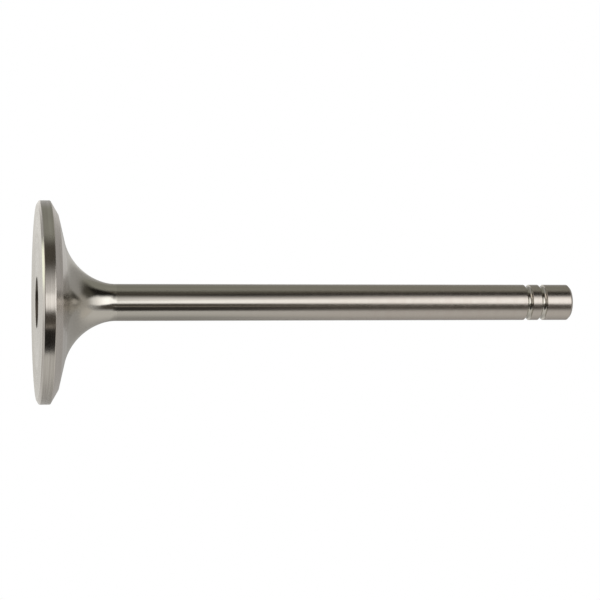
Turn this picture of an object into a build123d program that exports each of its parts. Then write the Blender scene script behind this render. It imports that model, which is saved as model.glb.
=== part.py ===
from build123d import *
import math
import os

# Intake valve of a piston engine, forged, turned and ground as one piece (millimetres).
# It stands on its combustion face: the face is on Z = 0, the stem's axis is +Z,
# and the origin is the centre of the face.

# Overall sizes
head_diameter = 49.1
stem_diameter = 8.97
valve_length = 134.4

# Edge of the head: a chamfer at the combustion face, then the cylindrical margin, whose other edge
# is rounded where it meets the seat
face_chamfer_width = 0.8
face_chamfer_height = 0.5
margin_height = 2.55
margin_edge_radius = 0.35

# Seat: the cone that closes on the seat ring, measured from the plane of the head
seat_angle = 30
seat_width = 3.65

# Back of the head: a shallow cone, then a neck of two tangent arcs that flows into the stem
back_angle = 13.5
neck_head_radius = 14.1
neck_stem_radius = 10.3
neck_stem_turn = 17.2

# Pocket in the middle of the combustion face, which takes weight out of the head
pocket_diameter = 12.5
pocket_depth = 1.5
pocket_floor_radius = 0.8

# Half-round grooves that take the beads of the split keepers
groove_count = 2
groove_radius = 0.7
groove_depth = 0.65
groove_pitch = 3.75
groove_edge_radius = 0.12
tip_land_length = 7.55

# Bevel round the tip
tip_chamfer = 0.6

# Worked out from the sizes above
head_radius = head_diameter / 2
stem_radius = stem_diameter / 2
pocket_radius = pocket_diameter / 2
seat_rise = seat_width * math.sin(math.radians(seat_angle))
seat_run = seat_width * math.cos(math.radians(seat_angle))
neck_head_turn = 90 - back_angle - neck_stem_turn
margin_top_z = face_chamfer_height + margin_height


def neck_spread():
    """How much further out than the stem the neck's arcs begin, on the back of the head."""
    stem_arc = neck_stem_radius * (1 - math.cos(math.radians(neck_stem_turn)))
    head_arc = neck_head_radius * (
        math.cos(math.radians(neck_stem_turn)) - math.sin(math.radians(back_angle))
    )
    return stem_arc + head_arc


def half_section():
    """Half of the valve's lengthwise section: X is the radius and Y runs up the stem."""
    seat_inner = (head_radius - seat_run, margin_top_z + seat_rise)
    back_run = seat_inner[0] - stem_radius - neck_spread()

    with BuildSketch(Plane.XZ) as section:
        with BuildLine():
            pocket_floor = Line((0, pocket_depth), (pocket_radius, pocket_depth))
            pocket_wall = Line(pocket_floor @ 1, (pocket_radius, 0))
            face = Line(pocket_wall @ 1, (head_radius - face_chamfer_width, 0))
            chamfer_line = Line(face @ 1, (head_radius, face_chamfer_height))
            margin = Line(chamfer_line @ 1, (head_radius, margin_top_z))
            seat = Line(margin @ 1, seat_inner)
            back = PolarLine(seat @ 1, back_run, 180 - back_angle, length_mode=LengthMode.HORIZONTAL)
            head_arc = JernArc(back @ 1, back % 1, neck_head_radius, -neck_head_turn)
            stem_arc = JernArc(head_arc @ 1, head_arc % 1, neck_stem_radius, -neck_stem_turn)
            stem = Line(stem_arc @ 1, (stem_radius, valve_length - tip_chamfer))
            bevel = Line(stem @ 1, (stem_radius - tip_chamfer, valve_length))
            tip = Line(bevel @ 1, (0, valve_length))
            Line(tip @ 1, pocket_floor @ 0)
        make_face()

        floor_corner = section.vertices().sort_by_distance((pocket_radius, pocket_depth))[0]
        fillet(floor_corner, pocket_floor_radius)
        margin_corner = section.vertices().sort_by_distance((head_radius, margin_top_z))[0]
        fillet(margin_corner, margin_edge_radius)

        for groove in range(groove_count):
            groove_z = valve_length - tip_land_length - groove * groove_pitch
            with Locations((stem_radius + groove_radius - groove_depth, groove_z)):
                Circle(groove_radius, mode=Mode.SUBTRACT)
            mouth = section.vertices().sort_by_distance((stem_radius, groove_z))[:2]
            fillet(mouth, groove_edge_radius)
    return section.sketch


def make_valve():
    """The whole valve: its half section turned once round the stem's axis."""
    with BuildPart() as valve:
        add(half_section())
        revolve(axis=Axis.Z)
    return valve.part


os.makedirs("parts", exist_ok=True)
export_step(make_valve(), "parts/valve.step")
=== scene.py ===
import math

import bpy
import numpy as np
from mathutils import Matrix, Vector


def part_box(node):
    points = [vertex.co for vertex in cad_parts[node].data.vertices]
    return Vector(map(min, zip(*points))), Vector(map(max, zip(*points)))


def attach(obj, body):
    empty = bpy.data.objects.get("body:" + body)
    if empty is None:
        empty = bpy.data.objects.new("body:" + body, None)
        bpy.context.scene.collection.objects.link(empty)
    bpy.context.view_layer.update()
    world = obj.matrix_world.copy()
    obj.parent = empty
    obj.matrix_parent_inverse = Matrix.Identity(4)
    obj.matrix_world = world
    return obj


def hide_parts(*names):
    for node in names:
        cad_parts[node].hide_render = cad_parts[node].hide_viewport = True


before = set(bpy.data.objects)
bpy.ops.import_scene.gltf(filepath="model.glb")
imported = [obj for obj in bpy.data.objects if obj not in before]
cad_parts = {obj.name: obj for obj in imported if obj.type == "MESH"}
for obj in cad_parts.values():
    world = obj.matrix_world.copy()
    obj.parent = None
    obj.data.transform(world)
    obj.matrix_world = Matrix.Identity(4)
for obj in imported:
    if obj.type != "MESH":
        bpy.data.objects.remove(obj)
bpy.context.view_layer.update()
mm = 0.001

# ---- Valve ----
# One forging of valve steel, turned all over and then ground on the margin, seat, stem and tip. It
# is one piece with nothing fixed to it, and it stands on its combustion face. It is round about its
# axis, so one outline turned about Z makes all of it.
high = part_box("valve")[1]
valve_length = high.z
head_radius = high.x
stem_radius = 4.485 * mm
pocket_radius = 6.25 * mm
pocket_depth = 1.5 * mm
pocket_floor_radius = 0.8 * mm
face_chamfer_width = 0.8 * mm
face_chamfer_height = 0.5 * mm
margin_height = 2.55 * mm
margin_front_radius = 0.22 * mm
margin_edge_radius = 0.25 * mm
seat_angle = math.radians(30)
seat_width = 3.65 * mm
back_angle = math.radians(13.5)
neck_head_radius = 14.1 * mm
neck_stem_radius = 10.3 * mm
neck_stem_turn = math.radians(17.2)
neck_head_turn = math.radians(90) - back_angle - neck_stem_turn
groove_radius = 0.7 * mm
groove_depth = 0.65 * mm
groove_pitch = 3.75 * mm
groove_edge_radius = 0.12 * mm
tip_land_length = 7.55 * mm
tip_chamfer = 0.6 * mm
edge_break = 0.06 * mm

# The finishes, in the order in which their materials go on below.
POCKET, FACE, RIM, SEAT, BACK, NECK, STEM, GROOVE = range(8)


def neck_corners(seat_inner):
    """The two corners whose rounding makes the neck's arcs.

    Two tangent arcs touch where they meet, so the corners lie radius * tan(half its turn) each side
    of that point, and the lower one lies on the line of the back of the head.
    """
    reach = neck_head_radius * math.tan(neck_head_turn / 2) + neck_stem_radius * math.tan(neck_stem_turn / 2)
    lower_radius = stem_radius + reach * math.sin(neck_stem_turn)
    lower_height = seat_inner[1] + (seat_inner[0] - lower_radius) * math.tan(back_angle)
    return (lower_radius, lower_height), (stem_radius, lower_height + reach * math.cos(neck_stem_turn))


def groove_corners(centre_height):
    """The three corners of one half-round groove: its lower lip, its floor and its upper lip.

    Each lip's arc touches the stem and the groove's circle, so it turns by the angle whose tangent is
    the rise between the two centres over their distance apart in radius.
    """
    across = groove_radius - groove_depth + groove_edge_radius
    rise = math.sqrt((groove_radius + groove_edge_radius) ** 2 - across**2)
    turn = math.atan2(rise, across)
    lip = rise - groove_edge_radius * math.tan(turn / 2)
    inner = stem_radius + groove_radius - groove_depth - groove_radius / math.cos(turn)
    return (stem_radius, centre_height - lip), (inner, centre_height), (stem_radius, centre_height + lip)


seat_outer = (head_radius, face_chamfer_height + margin_height)
seat_inner = (
    head_radius - seat_width * math.cos(seat_angle),
    seat_outer[1] + seat_width * math.sin(seat_angle),
)
neck_low, neck_high = neck_corners(seat_inner)
stem_start = neck_high[1] + neck_stem_radius * math.tan(neck_stem_turn / 2)
# Each corner of the outline: its distance from the axis and height, its rounding, and the finish
# of the surface from there to the next corner.
outline = [
    ((0, pocket_depth), 0, POCKET),
    ((pocket_radius, pocket_depth), pocket_floor_radius, POCKET),
    ((pocket_radius, 0), edge_break, FACE),
    ((head_radius - face_chamfer_width, 0), edge_break, RIM),
    ((head_radius, face_chamfer_height), margin_front_radius, RIM),
    (seat_outer, margin_edge_radius, SEAT),
    (seat_inner, edge_break, BACK),
    (neck_low, neck_head_radius, NECK),
    (neck_high, neck_stem_radius, NECK),
    ((stem_radius, stem_start), 0, STEM),
]
for groove in (1, 0):
    lower_lip, bottom, upper_lip = groove_corners(valve_length - tip_land_length - groove * groove_pitch)
    outline += [(lower_lip, groove_edge_radius, GROOVE), (bottom, groove_radius, GROOVE)]
    outline += [(upper_lip, groove_edge_radius, STEM)]
outline += [
    ((stem_radius, valve_length - tip_chamfer), edge_break, STEM),
    ((stem_radius - tip_chamfer, valve_length), edge_break, STEM),
    ((0, valve_length), 0, STEM),
]


def rounded(corners, sagitta=0.002 * mm, longest=3 * mm, touching=0.001 * mm):
    """Points and outward normals along an outline whose corners are rounded, and each step's finish.

    An arc starts radius * tan(half the turn) before its corner. Its centre lies one radius from there
    at a right angle to the path, and its points are the centre plus the radius along the turning
    normal. Steps are small enough to leave the true arc by no more than the sagitta, and a straight
    run is cut into equal steps no longer than the longest. Where two arcs touch, no run lies between.
    """
    place = np.array([corner[0] for corner in corners])
    runs = np.diff(place, axis=0)
    headings = np.arctan2(runs[:, 1], runs[:, 0])
    points, normals, finishes = [place[:1]], [[[0.0, -1.0]]], []
    for i in range(1, len(corners)):
        heading = headings[i - 1]
        turn = 0.0
        radius = corners[i][1]
        if i < len(headings):
            turn = (headings[i] - heading + math.pi) % (2 * math.pi) - math.pi
        start = place[i] - radius * math.tan(abs(turn) / 2) * np.array([math.cos(heading), math.sin(heading)])
        normal = np.array([math.sin(heading), -math.cos(heading)])
        run = np.linalg.norm(start - points[-1][-1])
        if run > touching:
            steps = math.ceil(run / longest)
            share = np.arange(1, steps + 1)[:, None] / steps
            points.append(points[-1][-1] * (1 - share) + start * share)
            normals.append(np.repeat(normal[None], steps, 0))
            finishes += [corners[i - 1][2]] * steps
        if radius:
            side = math.copysign(radius, turn)
            steps = max(3, math.ceil(abs(turn) / (2 * math.acos(1 - sagitta / max(radius, 2 * sagitta)))))
            angle = heading + turn * np.arange(1, steps + 1) / steps
            turning = np.stack([np.sin(angle), -np.cos(angle)], 1)
            points.append(start - side * normal + side * turning)
            normals.append(turning)
            finishes += [corners[i][2]] * steps
    return np.concatenate(points), np.concatenate(normals), np.array(finishes, np.int32)


def lathe(name, points, normals, finishes, turns=256):
    """A closed surface turned about Z: x = r cos a, y = r sin a and z = height for each outline point.

    The outline's two ends lie on the axis and become one vertex each, with a fan of triangles. The UV
    map runs round the axis in U and along the outline in V, which is in metres.
    """
    ring = points[1:-1]
    angle = 2 * math.pi * np.arange(turns) / turns
    around = np.stack([np.cos(angle), np.sin(angle)], 1)

    def turned(pairs):
        """Every (radius, height) pair turned to every angle, row by row."""
        flat = pairs[:, None, :1] * around[None]
        tall = np.broadcast_to(pairs[:, None, 1:], flat.shape[:2] + (1,))
        return np.concatenate([flat, tall], 2).reshape(-1, 3)

    count = len(ring)
    bottom, top = count * turns, count * turns + 1
    vertices = np.concatenate([turned(ring), [[0, 0, points[0][1]], [0, 0, points[-1][1]]]])
    shading = np.concatenate([turned(normals[1:-1]), [[0, 0, -1], [0, 0, 1]]])
    here = np.arange(turns)
    after = (here + 1) % turns
    row = (np.arange(count - 1) * turns)[:, None]
    quads = np.stack([row + here, row + after, row + turns + after, row + turns + here], 2).reshape(-1, 4)
    last = (count - 1) * turns
    first_fan = np.stack([np.full(turns, bottom), after, here], 1)
    last_fan = np.stack([np.full(turns, top), last + here, last + after], 1)
    mesh = bpy.data.meshes.new(name)
    mesh.from_pydata(vertices, [], first_fan.tolist() + quads.tolist() + last_fan.tolist())
    mesh.polygons.foreach_set("use_smooth", np.ones(len(mesh.polygons), bool))
    mesh.polygons.foreach_set("material_index", np.repeat(finishes, turns))
    along = np.concatenate([[0], np.cumsum(np.linalg.norm(np.diff(points, axis=0), axis=1))])
    u0, u1 = here / turns, (here + 1) / turns
    middle = (u0 + u1) / 2
    v0, v1 = along[1:-2, None] + 0 * u0, along[2:-1, None] + 0 * u0
    grid_u = np.stack(np.broadcast_arrays(u0 + 0 * v0, u1 + 0 * v0, u1 + 0 * v0, u0 + 0 * v0), 2)
    grid_v = np.stack([v0, v0, v1, v1], 2)
    first = np.stack([np.stack([middle, u1, u0], 1), along[1] * np.array([0, 1, 1]) + 0 * middle[:, None]], 2)
    ends = along[-1] + (along[-2] - along[-1]) * np.array([0, 1, 1])
    final = np.stack([np.stack([middle, u0, u1], 1), ends + 0 * middle[:, None]], 2)
    loops = [first.reshape(-1, 2), np.stack([grid_u, grid_v], 3).reshape(-1, 2), final.reshape(-1, 2)]
    unrolled = mesh.uv_layers.new(name="UVMap")
    unrolled.uv.foreach_set("vector", np.concatenate(loops).astype(np.float32).ravel())
    mesh.normals_split_custom_set_from_vertices(shading.tolist())
    mesh.validate()
    piece = bpy.data.objects.new(name, mesh)
    bpy.context.scene.collection.objects.link(piece)
    return piece


valve = lathe("valve_body", *rounded(outline))
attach(valve, "root")
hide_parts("valve")


def linear(colour):
    """An sRGB hex colour as linear red, green, blue and alpha."""
    channels = np.array([int(colour[i : i + 2], 16) for i in (1, 3, 5)]) / 255
    light = np.where(channels <= 0.04045, channels / 12.92, ((channels + 0.055) / 1.055) ** 2.4)
    return (*light.tolist(), 1.0)


def add(material, kind, inputs=None, **settings):
    """Adds a node, sets its settings, and fills its inputs with values or with links from outputs."""
    made = material.node_tree.nodes.new(kind)
    for setting, value in settings.items():
        setattr(made, setting, value)
    for socket, value in (inputs or {}).items():
        if isinstance(value, bpy.types.NodeSocket):
            material.node_tree.links.new(value, made.inputs[socket])
        else:
            made.inputs[socket].default_value = value
    return made


# A mark is about a tenth of a turn long, as ten cells of noise fit round a circle of this radius.
mark_sweep = 1.6
# Broad soft bands, eight marks wide, show where the wheel cut a little harder or softer.
band_scale = 0.12
# The two noises together at which the steel is all bright and all dull.
all_bright, all_dull = 0.75, 1.25
# The part of a span's change that is the same all round. The marks give the rest.
even_part = 0.7


def cut_steel(name, bright, dull, smooth, rough, anisotropy, ring, depth, span=None):
    """Steel with the marks that a tool or wheel leaves on it.

    A noise is read at mark_sweep * (cos a, sin a) round the axis and at V / ring along the outline, so
    its marks are one ring wide and run round the valve. Where it rises the colour turns from bright to
    dull and the gloss from smooth to rough, and its height is the depth of the marks. A span gives the
    height where the steel is still all smooth and the height where it has become all marked.
    """
    material = bpy.data.materials.new(name)
    material.use_nodes = True
    shader = material.node_tree.nodes["Principled BSDF"]
    shader.inputs["Metallic"].default_value = 1
    shader.inputs["Anisotropic"].default_value = anisotropy
    # A quarter turn from the marks, so the gloss is drawn out across them.
    shader.inputs["Anisotropic Rotation"].default_value = 0.25
    place = add(material, "ShaderNodeTexCoord")
    flat = add(
        material,
        "ShaderNodeVectorMath",
        {0: place.outputs["Object"], 1: (1, 1, 0)},
        operation="MULTIPLY",
    )
    turn = add(material, "ShaderNodeVectorMath", {0: flat.outputs[0]}, operation="NORMALIZE")
    swept = add(
        material,
        "ShaderNodeVectorMath",
        {0: turn.outputs[0], "Scale": mark_sweep},
        operation="SCALE",
    )
    along = add(
        material,
        "ShaderNodeVectorMath",
        {0: place.outputs["UV"], 1: (0, 1 / ring, 0)},
        operation="MULTIPLY",
    )
    height = add(material, "ShaderNodeSeparateXYZ", {0: along.outputs[0]})
    lifted = add(material, "ShaderNodeCombineXYZ", {"Z": height.outputs["Y"]})
    spot = add(material, "ShaderNodeVectorMath", {0: swept.outputs[0], 1: lifted.outputs[0]}, operation="ADD")
    marks = add(material, "ShaderNodeTexNoise", {"Vector": spot.outputs[0], "Scale": 1.0, "Detail": 3.0})
    wide = add(material, "ShaderNodeVectorMath", {0: spot.outputs[0], "Scale": band_scale}, operation="SCALE")
    bands = add(material, "ShaderNodeTexNoise", {"Vector": wide.outputs[0], "Scale": 1.0, "Detail": 1.0})
    both = add(
        material,
        "ShaderNodeMath",
        {0: marks.outputs["Fac"], 1: bands.outputs["Fac"]},
        operation="ADD",
    )
    share = add(
        material,
        "ShaderNodeMapRange",
        {"Value": both.outputs[0], "From Min": all_bright, "From Max": all_dull},
    )
    if span:
        tall = add(material, "ShaderNodeSeparateXYZ", {0: place.outputs["Object"]})
        begun = add(
            material,
            "ShaderNodeMapRange",
            {"Value": tall.outputs["Z"], "From Min": span[0], "From Max": span[1]},
            interpolation_type="SMOOTHSTEP",
        )
        most = add(
            material,
            "ShaderNodeMath",
            {0: share.outputs[0], 1: 1 - even_part, 2: even_part},
            operation="MULTIPLY_ADD",
        )
        share = add(
            material,
            "ShaderNodeMath",
            {0: most.outputs[0], 1: begun.outputs[0]},
            operation="MULTIPLY",
        )
    gloss = add(
        material,
        "ShaderNodeMapRange",
        {"Value": share.outputs[0], "To Min": smooth, "To Max": rough},
    )
    colour = add(
        material,
        "ShaderNodeMix",
        {"Factor": share.outputs[0], "A": linear(bright), "B": linear(dull)},
        data_type="RGBA",
    )
    relief = add(
        material,
        "ShaderNodeBump",
        {"Height": marks.outputs["Fac"], "Strength": 1.0, "Distance": depth},
    )
    grain = add(material, "ShaderNodeTangent", direction_type="RADIAL", axis="Z")
    links = material.node_tree.links
    links.new(colour.outputs[2], shader.inputs["Base Color"])
    links.new(gloss.outputs[0], shader.inputs["Roughness"])
    links.new(relief.outputs[0], shader.inputs["Normal"])
    links.new(grain.outputs[0], shader.inputs["Tangent"])
    valve.data.materials.append(material)


# Each call gives the bright and dull colours, the smooth and rough roughness, the anisotropy, and the
# width and depth of a mark.

# Valve steel, forged and rough turned. The pocket is the dullest and darkest face. Its colours are darkened
# as painted shade of the recess, while its roughness and its plain feed marks at their real 0.3 mm are real.
cut_steel("turned_pocket_painted_shade", "#98938B", "#6C6761", 0.35, 0.5, 0.3, 0.3 * mm, 0.03 * mm)
# Valve steel, faced on a lathe. Fine rings give the combustion face a soft pale sheen. The real feed
# is near 0.1 mm, too fine to show, so the rings are drawn coarser.
cut_steel("faced_steel", "#D0CCC6", "#C2BEB7", 0.20, 0.30, 0.5, 0.25 * mm, 0.01 * mm)
# Valve steel, ground round. The margin and the chamfer show hard bright and black bands with fine
# lines along them. The grit's real lines are 0.05 mm wide, so they are drawn coarser.
cut_steel("ground_rim", "#D6D2CE", "#BFBAB5", 0.12, 0.20, 0.4, 0.35 * mm, 0.006 * mm)
# Valve steel, ground to a cone. The seat is satin and a little paler than what lies beside it. Its
# lines are 0.05 mm wide too, and are drawn coarser.
cut_steel("ground_seat", "#E1DBD7", "#D7D1CC", 0.23, 0.32, 0.5, 0.25 * mm, 0.0075 * mm)
# Valve steel, finish turned. The back of the head is smooth and clear, with rings that barely show.
# The real feed is near 0.15 mm, so they are drawn coarser.
cut_steel("turned_back", "#D7D1CD", "#CBC5C0", 0.12, 0.18, 0.2, 0.35 * mm, 0.002 * mm)
# Valve steel, polished with belts. The neck gathers the light in one soft flare, which sharpens
# towards the stem. Its lines are 0.02 mm wide, and are drawn coarser.
neck_span = (13 * mm, 7 * mm)
cut_steel("polished_neck", "#CFCBC5", "#C6C2BB", 0.14, 0.22, 0.3, 0.30 * mm, 0.0024 * mm, neck_span)
# Valve steel, centreless ground. The stem shows long straight bands of light, sharp by the neck, and
# softer and a little browner towards the tip. Its lines are 0.02 mm wide, and are drawn coarser.
stem_span = (stem_start, stem_start + 80 * mm)
cut_steel("ground_stem", "#C6C2BC", "#C5BDB7", 0.14, 0.27, 0.1, 0.25 * mm, 0.001 * mm, stem_span)
# Valve steel, cut with a form tool. The keeper grooves are the shiniest part, with small hard glints.
# The tool's lines are 0.05 mm wide, and are drawn coarser.
cut_steel("turned_groove", "#D2CEC8", "#C4C0B8", 0.08, 0.14, 0.2, 0.15 * mm, 0.001 * mm)

# ---- Floor ----
# A plain sheet of pale matt paper under the valve, which keeps its shadow. It is one-sided, so from
# below the combustion face still shows, its hole keeps it off that face, and far out it fades away.
floor_mesh = bpy.data.meshes.new("floor")
floor_inner = head_radius - face_chamfer_width
floor_radii = np.array([floor_inner, 0.05, 0.1, 0.2, 0.4, 0.8, 1.6])
floor_turns = 128
fade_start, fade_end = 0.4, 1.5
floor_angle = 2 * math.pi * np.arange(floor_turns) / floor_turns
floor_points = np.stack(
    [
        np.outer(floor_radii, np.cos(floor_angle)),
        np.outer(floor_radii, np.sin(floor_angle)),
        np.zeros((len(floor_radii), floor_turns)),
    ],
    2,
)
row = (np.arange(len(floor_radii) - 1) * floor_turns)[:, None]
here = np.arange(floor_turns)
after = (here + 1) % floor_turns
floor_faces = np.stack([row + here, row + floor_turns + here, row + floor_turns + after, row + after], 2)
floor_mesh.from_pydata(floor_points.reshape(-1, 3), [], floor_faces.reshape(-1, 4).tolist())
floor = bpy.data.objects.new("floor", floor_mesh)
bpy.context.scene.collection.objects.link(floor)
floor.visible_glossy = False

paper = bpy.data.materials.new("matt_paper")
paper.use_nodes = True
sheet_shader = paper.node_tree.nodes["Principled BSDF"]
sheet_shader.inputs["Base Color"].default_value = linear("#F4F3F1")
sheet_shader.inputs["Roughness"].default_value = 0.9
sheet_shader.inputs["Specular IOR Level"].default_value = 0.2
side = add(paper, "ShaderNodeNewGeometry")
paper_place = add(paper, "ShaderNodeTexCoord")
paper_reach = add(paper, "ShaderNodeVectorMath", {0: paper_place.outputs["Object"]}, operation="LENGTH")
fade = add(
    paper,
    "ShaderNodeMapRange",
    {"Value": paper_reach.outputs["Value"], "From Min": fade_start, "From Max": fade_end},
    interpolation_type="SMOOTHSTEP",
)
gone = add(
    paper,
    "ShaderNodeMath",
    {0: side.outputs["Backfacing"], 1: fade.outputs[0]},
    operation="MAXIMUM",
)
clear = add(paper, "ShaderNodeBsdfTransparent")
blend = add(
    paper,
    "ShaderNodeMixShader",
    {0: gone.outputs[0], 1: sheet_shader.outputs[0], 2: clear.outputs[0]},
)
paper.node_tree.links.new(blend.outputs[0], paper.node_tree.nodes["Material Output"].inputs["Surface"])
floor_mesh.materials.append(paper)

# ---- Light tent ----
# Curved panels round the valve, which polished metal needs to have something to show: grey paper on
# every side, lamps behind and below, and in front a softbox in layers between dark cloths and flags,
# with a gap of light at its right. Nearer panels cover farther ones. They only show in the metal.


def panel(name, low_edge, high_edge, elevations, distance, tone, brightness, soft):
    """A patch of a sphere round the valve, seen only in its gloss.

    A point of it lies at distance * (sin a cos e, -cos a cos e, sin e), and its azimuth runs between
    two ends that move in a straight line from the low edge to the high edge. Its left, right, low and
    high edges fade over the soft degrees.
    """
    middle = np.array([0, 0, valve_length / 2])
    steps = 25
    share = np.linspace(0, 1, steps)
    e = np.radians(elevations[0] + (elevations[1] - elevations[0]) * share)[None]
    ends = np.outer(low_edge, 1 - share) + np.outer(high_edge, share)
    a = np.radians(ends[0][None] * (1 - share[:, None]) + ends[1][None] * share[:, None])
    grid = np.stack([np.sin(a) * np.cos(e), -np.cos(a) * np.cos(e), np.sin(e) + 0 * a], 2)
    row = (np.arange(steps - 1) * steps)[:, None]
    here = np.arange(steps - 1)
    faces = np.stack([row + here, row + here + 1, row + steps + here + 1, row + steps + here], 2)
    faces = faces.reshape(-1, 4)
    mesh = bpy.data.meshes.new(name)
    mesh.from_pydata((grid * distance + middle).reshape(-1, 3), [], faces.tolist())
    across = np.stack(np.meshgrid(share, share, indexing="ij"), 2).reshape(-1, 2)[faces.ravel()]
    mesh.uv_layers.new(name="UVMap").uv.foreach_set("vector", across.astype(np.float32).ravel())
    card = bpy.data.objects.new(name, mesh)
    bpy.context.scene.collection.objects.link(card)
    for ray in ("camera", "diffuse", "transmission", "volume_scatter", "shadow"):
        setattr(card, "visible_" + ray, False)
    cloth = bpy.data.materials.new(name)
    cloth.use_nodes = True
    cloth.node_tree.nodes.remove(cloth.node_tree.nodes["Principled BSDF"])
    place = add(cloth, "ShaderNodeTexCoord")
    ways = add(cloth, "ShaderNodeSeparateXYZ", {0: place.outputs["UV"]})
    width = (low_edge[1] - low_edge[0] + high_edge[1] - high_edge[0]) / 2
    tall = elevations[1] - elevations[0]
    cover = None
    for way, start, end in (
        ("X", 0, soft[0] / width),
        ("X", 1, 1 - soft[1] / width),
        ("Y", 0, soft[2] / tall),
        ("Y", 1, 1 - soft[3] / tall),
    ):
        edge = add(
            cloth,
            "ShaderNodeMapRange",
            {"Value": ways.outputs[way], "From Min": start, "From Max": end},
            interpolation_type="SMOOTHSTEP",
        )
        if cover is None:
            cover = edge
        else:
            cover = add(
                cloth,
                "ShaderNodeMath",
                {0: cover.outputs[0], 1: edge.outputs[0]},
                operation="MULTIPLY",
            )
    glow = add(cloth, "ShaderNodeEmission", {"Color": linear(tone), "Strength": brightness})
    clear = add(cloth, "ShaderNodeBsdfTransparent")
    mixed = add(
        cloth,
        "ShaderNodeMixShader",
        {0: cover.outputs[0], 1: clear.outputs[0], 2: glow.outputs[0]},
    )
    cloth.node_tree.links.new(mixed.outputs[0], cloth.node_tree.nodes["Material Output"].inputs["Surface"])
    mesh.materials.append(cloth)


# Each call gives the azimuths at the low and at the high edge, the elevations, the distance in
# metres, the tone, the brightness, and the soft left, right, low and high edges. All angles are in
# degrees, from the front round to the right, and the farthest panels come first.

# Grey paper on every side.
panel("grey_paper_tent", (-180, 180), (-180, 180), (-90, 90), 1.70, "#FBF9F4", 0.41, (0.1, 0.1, 0.1, 0.1))
panel("grey_paper_back", (136, 230), (136, 230), (8, 34), 1.64, "#FBF9F4", 0.43, (16, 16, 6, 14))
panel("grey_paper_back_left", (176, 212), (176, 212), (6, 34), 1.63, "#FBF9F4", 0.66, (12, 24, 6, 14))
panel("grey_paper_left", (-154, -40), (-144, -40), (-16, 66), 1.60, "#F2F2E2", 0.33, (24, 8, 10, 20))
panel("grey_paper_left_middle", (-112, -76), (-112, -76), (-10, 34), 1.58, "#F2F2E2", 0.36, (14, 10, 8, 14))
panel("grey_paper_right", (50, 150), (50, 156), (-60, 78), 1.55, "#FBF9F2", 0.67, (6, 72, 6, 20))
panel("grey_paper_right_low", (66, 170), (66, 170), (1, 14), 1.54, "#FBF9F2", 0.34, (60, 10, 3, 8))
panel("grey_paper_top", (-180, 180), (-180, 180), (66, 90), 1.50, "#FBF6EB", 0.45, (0.1, 0.1, 14, 0.1))
panel("grey_paper_top_right", (40, 150), (40, 150), (56, 86), 1.49, "#FBF6EB", 0.60, (24, 40, 10, 16))
# Lamps behind and below, with the paper that hangs between them.
panel("grey_paper_right_below", (96, 160), (96, 160), (-66, 1), 1.43, "#FBF9F2", 0.57, (24, 10, 6, 2))
panel("lamp_back", (136, 210), (136, 210), (-66, 1), 1.42, "#FFFDF8", 0.72, (20, 14, 6, 2))
panel("lamp_back_heart", (178, 210), (178, 210), (-60, 1), 1.41, "#FFFDF8", 0.90, (10, 14, 6, 2))
panel("lamp_below_side", (146, 200), (146, 200), (-84, -44), 1.41, "#FFFDF8", 0.98, (30, 4, 6, 8))
panel("lamp_below", (-172, -112), (-164, -120), (-84, -47.5), 1.40, "#FAFFEA", 1.6, (8, 8, 6, 8))
# Dark cloths and flags at each side of the softbox, and the gap of light in the right one.
panel("black_cloth_below", (-40, 52), (-40, 52), (-88, -10), 1.36, "#FFF3DC", 0.02, (8, 8, 4, 6))
panel("dark_cloth_left_top", (-152, -40), (-146, -30), (40, 86), 1.34, "#FFF8E0", 0.07, (46, 14, 16, 16))
panel("brown_flag_left_low", (-82, 0), (-82, 0), (-18, 12), 1.31, "#FFF3DC", 0.075, (20, 8, 6, 8))
panel("brown_flag_left", (-87, 0), (-87, 0), (4, 34), 1.30, "#FFEFD4", 0.085, (24, 8, 8, 10))
panel("black_flag_left", (-58, 0), (-122, -14), (4, 62), 1.26, "#FFF3DC", 0.014, (22, 8, 5, 10))
panel("black_flag_right", (-8, 50), (-8, 50), (-50, 68), 1.20, "#FFF0DA", 0.075, (8, 12, 8, 34))
panel("black_flag_right_middle", (24, 58), (24, 58), (-50, 17), 1.19, "#FFF5E6", 0.044, (4, 9, 8, 8))
panel("black_flag_right_low", (24, 62), (24, 62), (-50, 4), 1.18, "#FFF5E6", 0.012, (4, 9, 8, 3))
panel("gap_light_right", (26, 32), (19, 27), (-14, 17), 1.14, "#FFF4E4", 0.36, (4, 4, 4, 7))
# The softbox: its glow, its skirts and its hearts, with two small lamps below it.
panel("softbox_glow", (-56, 28), (-38, 24), (44, 80), 1.08, "#FFFDF8", 1.00, (24, 16, 6, 22))
panel("softbox_skirt", (-46, 12.5), (-46, 12.5), (-14, 5), 1.06, "#FFFCF6", 0.63, (35, 9, 6, 3))
panel("softbox_low", (-51, 7), (-42, 10), (1, 14), 1.05, "#FFFDF8", 1.15, (34, 10, 3, 4))
panel("softbox", (-52, 8), (-52, 27), (10, 60), 1.04, "#FFFDF8", 1.24, (34, 11, 8, 12))
panel("lamp_below_front", (-72, 9), (-72, 9), (-46, -7), 1.03, "#FFF3E6", 0.45, (8, 8, 6, 5))
panel("softbox_skirt_heart", (-11.5, 12.5), (-11.5, 12.5), (-14, 5), 1.02, "#FFFCF6", 1.14, (4, 9, 6, 3))
panel("lamp_below_left", (-86, -36), (-86, -36), (-66, -34), 1.01, "#FFF3E6", 1.2, (8, 8, 6, 4))
panel("softbox_heart_low", (-8, 7), (-46, 14), (1, 26), 1.00, "#FFFFFC", 1.54, (11, 9, 3, 5))
panel("softbox_heart", (-46, 14), (-46, 23), (20, 54), 0.99, "#FFFFFC", 1.66, (28, 11, 5, 20))

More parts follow.
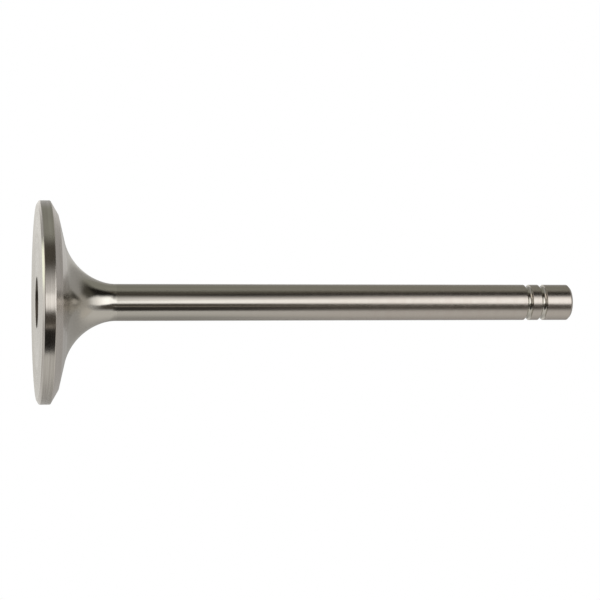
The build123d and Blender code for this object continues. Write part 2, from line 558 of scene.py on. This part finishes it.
# ---- Lamps ----
# The world lights the valve and floor evenly and is white behind them and in the metal. One large
# soft lamp from the upper left front gives the shadow its direction. Together they light the floor
# to 1.0.
even_light = 0.6
lamp_light = 0.4
world = bpy.data.worlds.new("studio")
world.use_nodes = True
sky = world.node_tree.nodes["Background"]
ray = add(world, "ShaderNodeLightPath")
seen = add(
    world,
    "ShaderNodeMath",
    {0: ray.outputs["Is Camera Ray"], 1: ray.outputs["Is Glossy Ray"]},
    operation="MAXIMUM",
)
shown = add(
    world,
    "ShaderNodeMath",
    {0: seen.outputs[0], 1: ray.outputs["Is Transmission Ray"]},
    operation="MAXIMUM",
)
level = add(
    world,
    "ShaderNodeMapRange",
    {"Value": shown.outputs[0], "To Min": even_light, "To Max": 1.0},
)
world.node_tree.links.new(level.outputs[0], sky.inputs["Strength"])
sky.inputs["Color"].default_value = (1, 1, 1, 1)
bpy.context.scene.world = world

lamp_side = 0.7
lamp_place = Vector((-0.5, -0.7, 1.0))
lamp_data = bpy.data.lights.new("soft_lamp", "AREA")
lamp_data.size = lamp_side
# A lamp lights paper to its power * cos(slant) / (pi * distance)^2.
lamp_data.energy = lamp_light * math.pi**2 * lamp_place.length_squared / lamp_place.normalized().z
lamp = bpy.data.objects.new("soft_lamp", lamp_data)
lamp.location = lamp_place
lamp.rotation_euler = lamp_place.to_track_quat("Z", "Y").to_euler()
lamp.visible_glossy = False
lamp.visible_camera = False
bpy.context.scene.collection.objects.link(lamp)
bpy.context.scene.view_settings.view_transform = "Standard"

# ---- Camera ----
# A long lens looks along +Y at the valve from a little below its combustion face, rolled a quarter
# turn so that the stem runs to the right. It is swung up the stem, so the tip is the far end.
lens_mm = 107.7
sensor_mm = 36
camera_swing = math.radians(11.6)
head_depth = 431.5 * mm
head_left_of_middle = 63.3 * mm
axis_below_middle = 0.6 * mm

look = Vector((0, math.cos(camera_swing), math.sin(camera_swing)))
right = Vector((0, -math.sin(camera_swing), math.cos(camera_swing)))
up = Vector((-1, 0, 0))
camera_data = bpy.data.cameras.new("camera")
camera_data.lens = lens_mm
camera_data.sensor_width = sensor_mm
camera_data.clip_start = 0.01
camera = bpy.data.objects.new("camera", camera_data)
camera.matrix_world = Matrix((right, up, -look)).transposed().to_4x4()
camera.location = right * head_left_of_middle - look * head_depth + up * axis_below_middle
bpy.context.scene.collection.objects.link(camera)
bpy.context.scene.camera = camera
